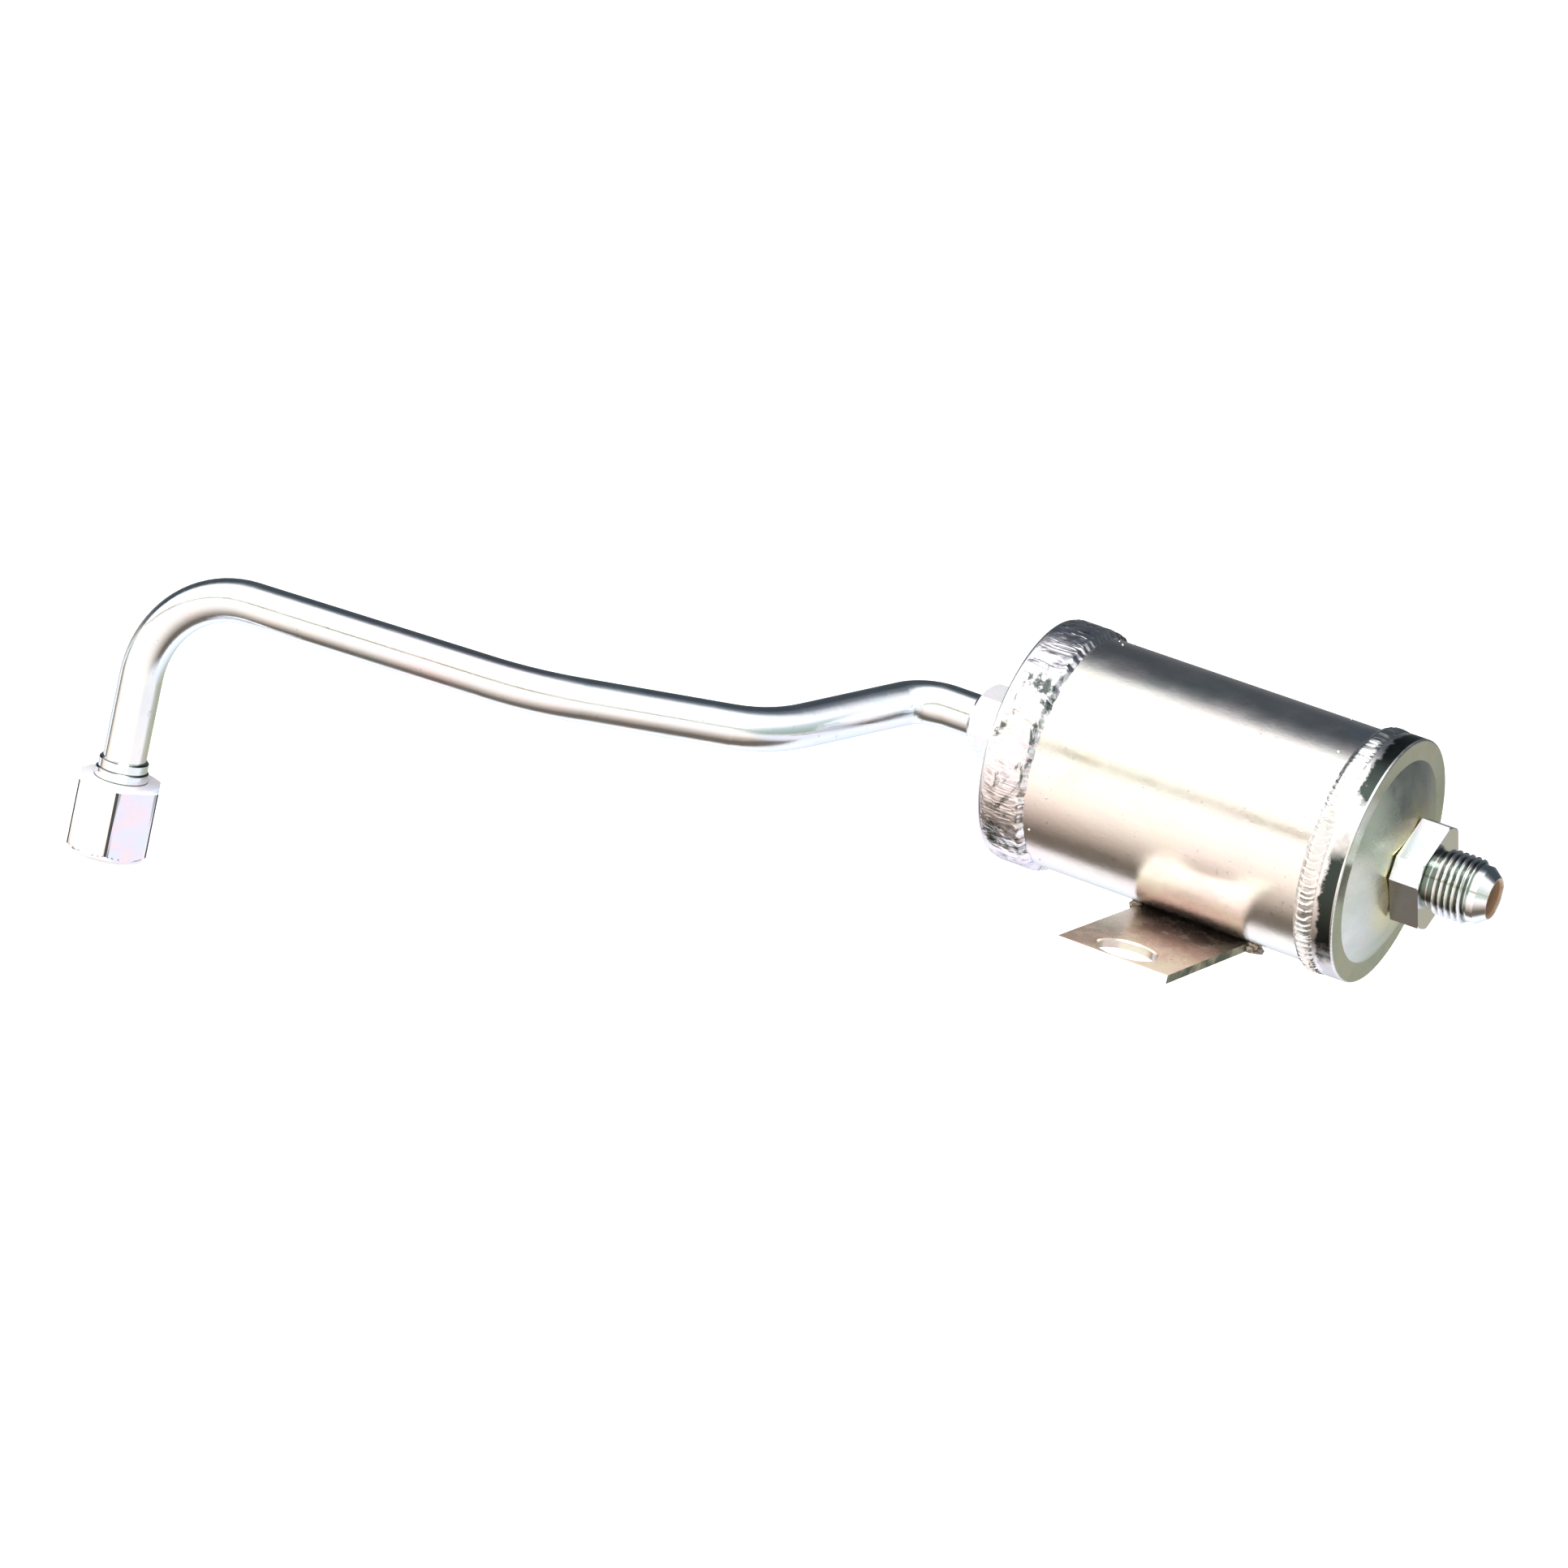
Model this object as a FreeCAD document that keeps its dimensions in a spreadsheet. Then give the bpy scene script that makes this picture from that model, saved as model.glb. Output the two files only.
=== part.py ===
import FreeCAD, Part
import math
import os
import Sketcher
from FreeCAD import Placement, Rotation, Vector

# Inline fuel filter: a welded steel canister with a flared inlet line, a flared outlet connector and a
# welded mounting plate.  Frame: +X along the canister to the outlet, +Z up out of the plate,
# origin at the plate's bolt hole on its underside.  Millimetres.

DIMENSIONS = {
    # canister
    "can_radius": 25.4, "can_length": 83.2, "can_wall": 1.2, "outlet_rim_x": 36.5, "can_y": 39.3,
    "fit_gap": 0.05,
    "cap_radius": 26.6, "cap_wall": 1.15, "cap_skirt": 4.6, "dome_edge_radius": 22.1,
    "dome_height": 4.6, "dome_flat_radius": 9.2, "outlet_rim_round": 0.4, "inlet_rim_round": 1.1,
    "outlet_bead_width": 4.8, "inlet_bead_width": 6.2, "bead_radius": 26.85,
    # outlet connector: 3/4 in square bar with cut corners, 9/16-18 thread, 37 degree nose
    "outlet_flats": 19.05, "outlet_flat_width": 12.0, "outlet_square_length": 6.6,
    "outlet_square_clock": 34.6, "outlet_corner_radius": 10.95,
    "thread_radius": 7.144, "thread_length": 8.6, "relief_radius": 6.15, "relief_width": 1.5,
    "nose_radius": 6.17, "nose_tip_radius": 4.5, "nose_reach": 12.8, "seat_angle": 37.0,
    "outlet_bore_radius": 3.75, "bore_mouth_radius": 4.32,
    "outlet_shank_radius": 8.0, "outlet_shank_length": 2.9, "spigot_radius": 5.5, "spigot_length": 13.0,
    # inlet coupling, 9/16 in hexagon
    "inlet_hex_flats": 14.29, "inlet_hex_length": 8.4, "inlet_hex_clock": 18.1,
    "inlet_shank_radius": 6.0, "inlet_shank_length": 2.9, "inlet_bore_radius": 3.6,
    "socket_depth": 5.0, "braze_leg": 1.3, "tube_weld_leg": 1.5,
    # inlet line, 3/8 in tube: corner points of its centre line and the bend radius at each
    "tube_radius": 4.7625, "tube_wall": 1.24,
    "corner_one_x": -73.8, "bend_one": 10.3,
    "corner_two_x": -92.1, "corner_two_y": 5.4, "corner_two_z": 18.1, "bend_two": 34.0,
    "corner_three_x": -133.6, "corner_three_y": -25.1, "corner_three_z": 17.8, "bend_three": 33.0,
    "line_end_x": -224.9, "line_end_y": -29.1, "corner_four_z": 15.3, "bend_four": 23.8,
    "flare_radius": 6.15, "flare_height": 9.6,
    # flare nut, 11/16 in hexagon, and its sleeve
    "nut_base_z": -47.7, "nut_length": 16.8, "nut_hex_flats": 17.46, "nut_hex_clock": 1.0,
    "nut_base_radius": 8.3, "nut_base_height": 0.7, "nut_thread_radius": 6.45, "nut_mouth_radius": 7.25,
    "nut_thread_top": 8.8, "nut_cavity_radius": 6.7, "nut_shoulder": 13.05, "nut_neck_bore": 5.92,
    "sleeve_bore": 4.82, "sleeve_seat_z": 9.8, "collar_radius": 6.37, "collar_top": 13.0,
    "neck_radius": 5.85, "neck_step_z": 19.0, "neck_tip_radius": 5.45, "sleeve_top": 21.3,
    # mounting plate, 1 in wide, 14 gauge
    "plate_width": 25.4, "plate_gauge": 1.9, "plate_front": 7.15, "plate_back": 45.3,
    "hole_radius": 6.35, "hole_bevel": 0.35, "tack_radius": 2.7, "tack_y": 35.6,
    # filter element and the pieces that hold it
    "element_length": 56.0, "element_outlet_x": 30.0, "pleat_outer": 20.6, "pleat_root": 12.2,
    "pleat_depth_step": 2.6, "pleat_count": 36,
    "core_radius": 9.2, "core_wall": 0.6, "core_hole_radius": 1.5, "core_hole_rows": 9,
    "element_cap_radius": 21.8, "element_cap_wall": 0.8, "element_cap_skirt": 4.0,
    "outlet_eye_radius": 7.0, "seal_flange_radius": 9.0, "seal_flange": 1.6, "seal_neck": 2.4,
    "boss_radius": 7.2, "boss_height": 1.8,
    "spring_radius": 8.3, "spring_wire": 0.6, "spring_turns": 4.5,
}


class Size:
    """A number together with the sheet expression that gives it."""

    def __init__(self, value, text):
        self.value, self.text = float(value), text

    @staticmethod
    def of(other):
        return other if isinstance(other, Size) else Size(other, repr(float(other)))

    def __add__(self, other):
        other = Size.of(other)
        return Size(self.value + other.value, f"({self.text} + {other.text})")

    def __sub__(self, other):
        other = Size.of(other)
        return Size(self.value - other.value, f"({self.text} - {other.text})")

    def __mul__(self, other):
        other = Size.of(other)
        return Size(self.value * other.value, f"({self.text} * {other.text})")

    def __truediv__(self, other):
        other = Size.of(other)
        return Size(self.value / other.value, f"({self.text} / {other.text})")

    def __neg__(self):
        return Size(-self.value, f"(0 - {self.text})")


doc = FreeCAD.newDocument("FuelFilter")
sheet = doc.addObject("Spreadsheet::Sheet", "Dims")
for row, (alias, number) in enumerate(DIMENSIONS.items(), start=1):
    sheet.set(f"A{row}", alias)
    sheet.set(f"B{row}", str(number))
    sheet.setAlias(f"B{row}", alias)
doc.recompute()


def dim(alias):
    return Size(sheet.get(alias), f"Dims.{alias}")


ZERO = Size(0, "0")
CAN_Z = dim("can_radius") + dim("plate_gauge")
OUTLET_X = dim("outlet_rim_x")
INLET_X = OUTLET_X - dim("can_length")
TOWARDS_OUTLET = Rotation(Vector(0, 1, 0), 90)
TOWARDS_INLET = Rotation(Vector(0, 1, 0), -90)
UPRIGHT = Rotation()

NODES = []


def place(thing, label, x, y, z, rotation=UPRIGHT):
    """Name a sub-part, stand it at a point given by sheet expressions and keep it for writing out."""
    thing.Label = label
    thing.Placement = Placement(Vector(x.value, y.value, z.value), rotation)
    for axis, size in zip("xyz", (x, y, z)):
        thing.setExpression(f"Placement.Base.{axis}", size.text)
    NODES.append(thing)
    return thing


def on_can_axis(thing, label, x, rotation):
    return place(thing, label, x, dim("can_y"), CAN_Z, rotation)


def new_body(name):
    return doc.addObject("PartDesign::Body", name)


def origin_plane(body, role):
    return next(plane for plane in body.Origin.OriginFeatures if plane.Role == role)


def new_sketch(body, name, role="XZ_Plane", offset=None):
    sketch = body.newObject("Sketcher::SketchObject", name)
    sketch.AttachmentSupport = [(origin_plane(body, role), "")]
    sketch.MapMode = "FlatFace"
    if offset is not None:
        sketch.setExpression("AttachmentOffset.Base.z", offset.text)
    return sketch


def pin_point(sketch, edge, end, across, up):
    """Hold one sketch point at sheet-driven coordinates."""
    for kind, size, axis in (("DistanceX", across, -2), ("DistanceY", up, -1)):
        if abs(size.value) < 1e-9:
            sketch.addConstraint(Sketcher.Constraint("PointOnObject", edge, end, axis))
        else:
            index = sketch.addConstraint(
                Sketcher.Constraint(kind, -1, 1, edge, end, size.value))
            sketch.setExpression(f"Constraints[{index}]", size.text)


def draw_outline(sketch, points, arcs=None):
    """Draw a closed outline of (across, up) points.

    arcs maps the number of a side to (centre across, centre up) where that side is an arc."""
    arcs = arcs or {}
    count = len(points)
    ends = []
    for number in range(count):
        start, end = (Vector(across.value, up.value, 0)
                      for across, up in (points[number], points[(number + 1) % count]))
        if number not in arcs:
            sketch.addGeometry(Part.LineSegment(start, end), False)
            ends.append((1, 2))
            continue
        centre = Vector(arcs[number][0].value, arcs[number][1].value, 0)
        anticlockwise = (start - centre).cross(end - centre).z > 0
        ends.append((1, 2) if anticlockwise else (2, 1))
        first, last = (start, end) if anticlockwise else (end, start)
        angles = [math.atan2(p.y - centre.y, p.x - centre.x) for p in (first, last)]
        circle = Part.Circle(centre, Vector(0, 0, 1), (start - centre).Length)
        sketch.addGeometry(Part.ArcOfCircle(circle, *angles), False)
    for number in range(count):
        following = (number + 1) % count
        sketch.addConstraint(Sketcher.Constraint(
            "Coincident", number, ends[number][1], following, ends[following][0]))
    for number, (across, up) in enumerate(points):
        pin_point(sketch, number, ends[number][0], across, up)
    for number, (across, up) in arcs.items():
        # the two ends fix the radius, so one coordinate settles the centre
        if abs(across.value) < 1e-9:
            sketch.addConstraint(Sketcher.Constraint("PointOnObject", number, 3, -2))
        else:
            index = sketch.addConstraint(
                Sketcher.Constraint("DistanceX", -1, 1, number, 3, across.value))
            sketch.setExpression(f"Constraints[{index}]", across.text)


def turn(body, name, points, arcs=None, kind="PartDesign::Revolution"):
    """Turn an outline of (radius, height) points about the body's Z axis."""
    sketch = new_sketch(body, f"{name}Profile")
    draw_outline(sketch, points, arcs)
    feature = body.newObject(kind, name)
    feature.Profile = sketch
    feature.ReferenceAxis = (sketch, ["V_Axis"])
    feature.Angle = 360
    sketch.Visibility = False
    doc.recompute()
    return feature


def add_hexagon(body, name, flats, clock, base, length, hole):
    """Pad a hexagonal band with a round hole, one corner `clock` degrees round from the X axis."""
    corner = flats / (2 * math.cos(math.radians(30)))
    sketch = new_sketch(body, f"{name}Outline", "XY_Plane", base)
    sketch.AttachmentOffset = Placement(Vector(0, 0, base.value), Rotation(clock.value, 0, 0))
    sketch.setExpression("AttachmentOffset.Base.z", base.text)
    corners = [Vector(corner.value * math.cos(math.radians(60 * n)),
                      corner.value * math.sin(math.radians(60 * n)), 0) for n in range(6)]
    for number in range(6):
        sketch.addGeometry(Part.LineSegment(corners[number], corners[(number + 1) % 6]), False)
    circle = sketch.addGeometry(Part.Circle(Vector(), Vector(0, 0, 1), corner.value), True)
    bore = sketch.addGeometry(Part.Circle(Vector(), Vector(0, 0, 1), hole.value), False)
    for number in range(6):
        sketch.addConstraint(Sketcher.Constraint("Coincident", number, 2, (number + 1) % 6, 1))
        sketch.addConstraint(Sketcher.Constraint("PointOnObject", number, 1, circle))
    for number in range(1, 6):
        sketch.addConstraint(Sketcher.Constraint("Equal", 0, number))
    sketch.addConstraint(Sketcher.Constraint("PointOnObject", 0, 1, -1))
    for ring, size in ((circle, corner), (bore, hole)):
        sketch.addConstraint(Sketcher.Constraint("Coincident", ring, 3, -1, 1))
        index = sketch.addConstraint(Sketcher.Constraint("Radius", ring, size.value))
        sketch.setExpression(f"Constraints[{index}]", size.text)
    pad = body.newObject("PartDesign::Pad", name)
    pad.Profile = sketch
    pad.setExpression("Length", length.text)
    sketch.Visibility = False
    doc.recompute()


def add_cut_square(body, name, flats, flat_width, clock, base, length, hole):
    """Pad a square band with its corners cut off and a round hole through it."""
    sketch = new_sketch(body, f"{name}Outline", "XY_Plane", base)
    sketch.AttachmentOffset = Placement(Vector(0, 0, base.value), Rotation(clock.value, 0, 0))
    sketch.setExpression("AttachmentOffset.Base.z", base.text)
    far, near = flats / 2, flat_width / 2
    draw_outline(sketch, [(far, near), (near, far), (-near, far), (-far, near),
                          (-far, -near), (-near, -far), (near, -far), (far, -near)])
    bore = sketch.addGeometry(Part.Circle(Vector(), Vector(0, 0, 1), hole.value), False)
    sketch.addConstraint(Sketcher.Constraint("Coincident", bore, 3, -1, 1))
    index = sketch.addConstraint(Sketcher.Constraint("Radius", bore, hole.value))
    sketch.setExpression(f"Constraints[{index}]", hole.text)
    pad = body.newObject("PartDesign::Pad", name)
    pad.Profile = sketch
    pad.setExpression("Length", length.text)
    sketch.Visibility = False
    doc.recompute()


def chamfer_corners(body, name, flats, face, rim, downwards):
    """Cut the 30 degree chamfer that rounds a prism's corners at one end."""
    before = body.Shape.Volume
    outside = flats * 0.6
    drop = (outside - rim) * math.tan(math.radians(30))
    far = face - drop if downwards else face + drop
    turn(body, name, [(rim, face), (outside, face), (outside, far)], kind="PartDesign::Groove")
    if body.Shape.Volume >= before:
        raise RuntimeError(f"{name} cut nothing")


# ---------------------------------------------------------------- canister

def make_shell():
    end_gap = dim("cap_wall") + dim("fit_gap")
    inner, outer = dim("can_radius") - dim("can_wall"), dim("can_radius")
    length = dim("can_length") - end_gap * 2
    body = new_body("Shell")
    turn(body, "ShellTube", [(inner, ZERO), (outer, ZERO), (outer, length), (inner, length)])
    on_can_axis(body, "canister_shell", INLET_X + end_gap, TOWARDS_OUTLET)


def make_end_cap(name, label, hole_radius, rim_round, x, rotation):
    """A pressed cup over the shell's end: skirt, flat rim, domed middle with a pierced flat."""
    skirt, wall = dim("cap_skirt"), dim("cap_wall")
    inside, outside = dim("can_radius") + dim("fit_gap"), dim("cap_radius")
    top, flat = skirt + dim("dome_height"), dim("dome_flat_radius")
    edge, inner_edge = dim("dome_edge_radius"), dim("dome_edge_radius") - wall * 0.5
    hole = hole_radius + dim("fit_gap")
    points = [(inside, ZERO), (outside, ZERO), (outside, skirt - rim_round),
              (outside - rim_round, skirt), (edge, skirt), (flat, top), (hole, top),
              (hole, top - wall), (flat, top - wall), (inner_edge, skirt - wall),
              (inside, skirt - wall)]

    def sphere_height(far, low, near, high):
        """Height of the centre, on the axis, of the sphere through two points of the dome."""
        rise = high.value - low.value
        return Size((high.value ** 2 - low.value ** 2 + near.value ** 2 - far.value ** 2)
                    / (2 * rise), "0")

    arcs = {2: (outside - rim_round, skirt - rim_round),
            4: (ZERO, sphere_height(edge, skirt, flat, top)),
            8: (ZERO, sphere_height(inner_edge, skirt - wall, flat, top - wall))}
    body = new_body(name)
    turn(body, f"{name}Pressing", points, arcs)
    on_can_axis(body, label, x, rotation)


def make_seam_weld(name, label, width, x, rotation):
    """The fillet bead that joins a cap's skirt to the shell."""
    root, skirt, crown = dim("can_radius") + 0.02, dim("cap_radius"), dim("bead_radius")
    points = [(root, ZERO), (skirt, ZERO), (crown, width * 0.25), (crown - 0.1, width * 0.55),
              (crown - 0.6, width * 0.85), (root, width)]
    body = new_body(name)
    turn(body, f"{name}Bead", points)
    on_can_axis(body, label, x, rotation)


def make_outlet_connector():
    base = dim("spigot_length")
    face = base + dim("outlet_square_length")
    thread_start = face + dim("relief_width")
    thread_end = thread_start + dim("thread_length")
    tip = face + dim("nose_reach")
    bore, mouth = dim("outlet_bore_radius"), dim("bore_mouth_radius")
    shank, spigot, major = dim("outlet_shank_radius"), dim("spigot_radius"), dim("thread_radius")
    relief, nose, end = dim("relief_radius"), dim("nose_radius"), dim("nose_tip_radius")
    seat = (nose - end) / math.tan(math.radians(dim("seat_angle").value))
    shank_start = base - dim("outlet_shank_length")
    points = [(bore, ZERO), (spigot - 0.5, ZERO), (spigot, ZERO + 0.5), (spigot, shank_start),
              (shank, shank_start), (shank, face), (relief, face),
              (relief, thread_start - 0.5), (major, thread_start + 0.4), (major, thread_end - 0.9),
              (nose, thread_end), (nose, tip - seat), (end, tip), (mouth, tip),
              (bore, tip - (mouth - bore))]
    body = new_body("OutletConnector")
    turn(body, "ConnectorTurning", points)
    add_cut_square(body, "ConnectorSquare", dim("outlet_flats"), dim("outlet_flat_width"),
                   dim("outlet_square_clock"), base, dim("outlet_square_length"), bore)
    chamfer_corners(body, "ConnectorChamfer", dim("outlet_flats") * 1.1, face,
                    dim("outlet_corner_radius"), True)
    on_can_axis(body, "outlet_connector", OUTLET_X + dim("dome_height") - base, TOWARDS_OUTLET)


def make_inlet_coupling():
    """The hexagonal coupling in the inlet cap, bored out to take the end of the line."""
    base = dim("inlet_shank_length")
    face = base + dim("inlet_hex_length")
    shank, bore = dim("inlet_shank_radius"), dim("inlet_bore_radius")
    socket = dim("tube_radius") + dim("fit_gap")
    bottom = face - dim("socket_depth")
    points = [(bore, ZERO), (shank, ZERO), (shank, face), (socket, face),
              (socket, bottom), (bore, bottom)]
    body = new_body("InletCoupling")
    turn(body, "CouplingTurning", points)
    add_hexagon(body, "CouplingHex", dim("inlet_hex_flats"), dim("inlet_hex_clock"),
                base, dim("inlet_hex_length"), socket)
    chamfer_corners(body, "CouplingHexChamfer", dim("inlet_hex_flats"), face,
                    dim("inlet_hex_flats") * 0.485, True)
    on_can_axis(body, "inlet_coupling", INLET_X - dim("dome_height") + base, TOWARDS_INLET)


def make_fillet_ring(name, label, radius, leg, x, rotation):
    """A three-sided ring of braze or weld round a stem of the given radius."""
    body = new_body(name)
    root = radius + 0.02
    turn(body, f"{name}Ring", [(root, ZERO), (root + leg, ZERO), (root, leg)])
    on_can_axis(body, label, x, rotation)


# ---------------------------------------------------------------- inlet line

def bent_path(corners, radii):
    """Straight runs through the corner points, joined by tangent arcs."""
    edges, start = [], corners[0]
    for before, corner, after, radius in zip(corners, corners[1:], corners[2:], radii):
        back, ahead = (before - corner).normalize(), (after - corner).normalize()
        half_turn = (math.pi - back.getAngle(ahead)) / 2
        reach = radius * math.tan(half_turn)
        middle = (back + ahead).normalize()
        inner = corner + middle * (radius / math.cos(half_turn) - radius)
        enter, leave = corner + back * reach, corner + ahead * reach
        edges += [Part.makeLine(start, enter), Part.Arc(enter, inner, leave).toShape()]
        start = leave
    edges.append(Part.makeLine(start, corners[-1]))
    return Part.Wire(edges)


def make_inlet_tube():
    """The 3/8 in line: swept along its bent path, with a 37 degree flare at the far end."""
    outer, bore = dim("tube_radius").value, (dim("tube_radius") - dim("tube_wall")).value
    start_x = (INLET_X - dim("dome_height") - dim("inlet_hex_length")
               + dim("socket_depth") - dim("fit_gap")).value
    slope = math.tan(math.radians(dim("seat_angle").value))
    lip, wall = dim("flare_radius").value, dim("tube_wall").value
    cosine, sine = (f(math.radians(dim("seat_angle").value)) for f in (math.cos, math.sin))
    flare_z = (dim("nut_base_z") + dim("flare_height")).value
    neck_z = flare_z + (lip - outer) / slope
    joint_z = neck_z + 3.0
    end_x, end_y = dim("line_end_x").value, dim("line_end_y").value
    corners = [Vector(start_x, dim("can_y").value, CAN_Z.value),
               Vector(dim("corner_one_x").value, dim("can_y").value, CAN_Z.value)]
    for which in ("two", "three"):
        corners.append(Vector(*(dim(f"corner_{which}_{axis}").value for axis in "xyz")))
    corners += [Vector(end_x, end_y, dim("corner_four_z").value), Vector(end_x, end_y, joint_z)]
    radii = [dim(f"bend_{which}").value for which in ("one", "two", "three", "four")]
    path = bent_path(corners, radii)

    def swept(radius):
        ring = Part.Wire([Part.Circle(corners[0], Vector(1, 0, 0), radius).toShape()])
        return path.makePipeShell([ring], True, False)

    line = swept(outer).cut(swept(bore))
    expected = math.pi * (outer ** 2 - bore ** 2) * path.Length
    if abs(line.Volume / expected - 1) > 0.01:
        raise RuntimeError("the tube's volume does not match its length")
    inner_lip = (lip - wall * cosine, flare_z - wall * sine)
    profile = [(bore, joint_z), (outer, joint_z), (outer, neck_z), (lip, flare_z), inner_lip,
               (bore, inner_lip[1] + (inner_lip[0] - bore) / slope)]
    loop = [Vector(end_x + radius, end_y, height) for radius, height in profile]
    face = Part.Face(Part.makePolygon(loop + loop[:1]))
    flare = face.revolve(Vector(end_x, end_y, 0), Vector(0, 0, 1), 360)
    tube = doc.addObject("Part::Feature", "InletTube")
    tube.Shape = line.fuse(flare).removeSplitter()
    tube.Label = "inlet_tube"
    tube.Placement = Placement()
    NODES.append(tube)


def make_flare_sleeve():
    bore, seat = dim("sleeve_bore"), dim("sleeve_seat_z")
    slope = math.tan(math.radians(dim("seat_angle").value))
    mouth = dim("flare_radius") - (seat - dim("flare_height")) * slope + dim("fit_gap")
    collar, neck, tip = dim("collar_radius"), dim("neck_radius"), dim("neck_tip_radius")
    collar_top, step, top = dim("collar_top"), dim("neck_step_z"), dim("sleeve_top")
    points = [(mouth, seat), (collar, seat), (collar, collar_top), (neck, collar_top),
              (neck, step - 0.3), (neck - 0.3, step), (tip, step), (tip, top - 0.4),
              (tip - 0.35, top), (bore, top), (bore, seat + (mouth - bore) / slope)]
    body = new_body("FlareSleeve")
    turn(body, "SleeveTurning", points)
    place(body, "flare_sleeve", dim("line_end_x"), dim("line_end_y"), dim("nut_base_z"))


def make_flare_nut():
    base, length = dim("nut_base_height"), dim("nut_length")
    thread, mouth, neck = dim("nut_thread_radius"), dim("nut_mouth_radius"), dim("nut_neck_bore")
    rim, shoulder = dim("nut_base_radius"), dim("nut_shoulder")
    cavity, thread_top = dim("nut_cavity_radius"), dim("nut_thread_top")
    points = [(mouth, ZERO), (rim, ZERO), (rim, length), (neck, length), (neck, shoulder),
              (cavity, shoulder), (cavity, thread_top), (thread, thread_top),
              (thread, mouth - thread)]
    body = new_body("FlareNut")
    turn(body, "NutTurning", points)
    flats = dim("nut_hex_flats")
    add_hexagon(body, "NutHex", flats, dim("nut_hex_clock"), base, length - base, mouth + 0.4)
    chamfer_corners(body, "NutTopChamfer", flats, length, flats * 0.485, True)
    chamfer_corners(body, "NutBaseChamfer", flats, base, flats * 0.475, False)
    place(body, "flare_nut", dim("line_end_x"), dim("line_end_y"), dim("nut_base_z"))


# ---------------------------------------------------------------- mounting plate

def make_mounting_plate():
    half, front, back = dim("plate_width") / 2, dim("plate_front"), dim("plate_back")
    body = new_body("MountingPlate")
    sketch = new_sketch(body, "PlateOutline", "XY_Plane")
    draw_outline(sketch, [(-half, -front), (half, -front), (half, back), (-half, back)])
    hole = sketch.addGeometry(Part.Circle(Vector(), Vector(0, 0, 1), dim("hole_radius").value))
    sketch.addConstraint(Sketcher.Constraint("Coincident", hole, 3, -1, 1))
    index = sketch.addConstraint(Sketcher.Constraint("Radius", hole, dim("hole_radius").value))
    sketch.setExpression(f"Constraints[{index}]", dim("hole_radius").text)
    pad = body.newObject("PartDesign::Pad", "PlatePad")
    pad.Profile = sketch
    pad.setExpression("Length", dim("plate_gauge").text)
    sketch.Visibility = False
    doc.recompute()
    bevel, wall, gauge = dim("hole_bevel"), dim("hole_radius"), dim("plate_gauge")
    before = body.Shape.Volume
    turn(body, "HoleBevelTop", [(wall - 1, gauge), (wall + bevel, gauge), (wall - 1, gauge - bevel - 1)],
         kind="PartDesign::Groove")
    if body.Shape.Volume >= before:
        raise RuntimeError("the hole bevel cut nothing")
    place(body, "mounting_plate", ZERO, ZERO, ZERO)


def make_tack_welds():
    """Two blobs of weld, one on each side edge of the plate, cut to the can, the plate and the floor."""
    half, radius = dim("plate_width") / 2, dim("tack_radius")
    blobs = []
    for side, sign in (("Left", -1), ("Right", 1)):
        blob = doc.addObject("Part::Sphere", f"Tack{side}Ball")
        blob.setExpression("Radius", radius.text)
        centre = (half + 0.7) * sign, dim("tack_y"), dim("plate_gauge")
        for axis, size in zip("xyz", centre):
            blob.setExpression(f"Placement.Base.{axis}", Size.of(size).text)
        blobs.append(blob)
    tools = []
    can = doc.addObject("Part::Cylinder", "TackCanTool")
    can.setExpression("Radius", (dim("can_radius") + 0.02).text)
    can.Height = 80
    can.Placement = Placement(Vector(-40, dim("can_y").value, CAN_Z.value), TOWARDS_OUTLET)
    can.setExpression("Placement.Base.y", dim("can_y").text)
    can.setExpression("Placement.Base.z", CAN_Z.text)
    tools.append(can)
    plate = doc.addObject("Part::Box", "TackPlateTool")
    plate.setExpression("Length", (dim("plate_width") + 0.04).text)
    plate.setExpression("Height", (dim("plate_gauge") + 0.02).text)
    plate.Width = 80
    plate.Placement = Placement(Vector(0, -20, 0), UPRIGHT)
    plate.setExpression("Placement.Base.x", (-(half + 0.02)).text)
    tools.append(plate)
    below = doc.addObject("Part::Box", "TackFloorTool")
    below.Length, below.Width, below.Height = 80, 120, 10
    below.Placement = Placement(Vector(-40, -20, -9.8), UPRIGHT)
    tools.append(below)
    both = doc.addObject("Part::MultiFuse", "TackBlobs")
    both.Shapes = blobs
    cutters = doc.addObject("Part::MultiFuse", "TackTools")
    cutters.Shapes = tools
    welds = doc.addObject("Part::Cut", "TackWelds")
    welds.Base, welds.Tool = both, cutters
    doc.recompute()
    place(welds, "plate_tack_welds", ZERO, ZERO, ZERO)


# ---------------------------------------------------------------- inside the canister

def make_pleated_element():
    """A ring of folded paper: a star outline, stepped inwards by the paper's depth."""
    count, step = int(dim("pleat_count").value), dim("pleat_depth_step").value
    outer, root = dim("pleat_outer").value, dim("pleat_root").value
    gap = dim("fit_gap").value

    def star(shrink):
        loop = []
        for number in range(2 * count):
            radius = (outer if number % 2 == 0 else root) - shrink
            angle = math.pi * number / count
            loop.append(Vector(radius * math.cos(angle), radius * math.sin(angle), 0))
        return Part.Face(Part.makePolygon(loop + loop[:1]))

    ring = star(0).cut(star(step))
    paper = doc.addObject("Part::Feature", "PleatedPaper")
    paper.Shape = ring.extrude(Vector(0, 0, (dim("element_length") - gap * 2).value))
    on_can_axis(paper, "pleated_paper", dim("element_outlet_x") - dim("element_length") + gap,
                TOWARDS_OUTLET)


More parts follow.
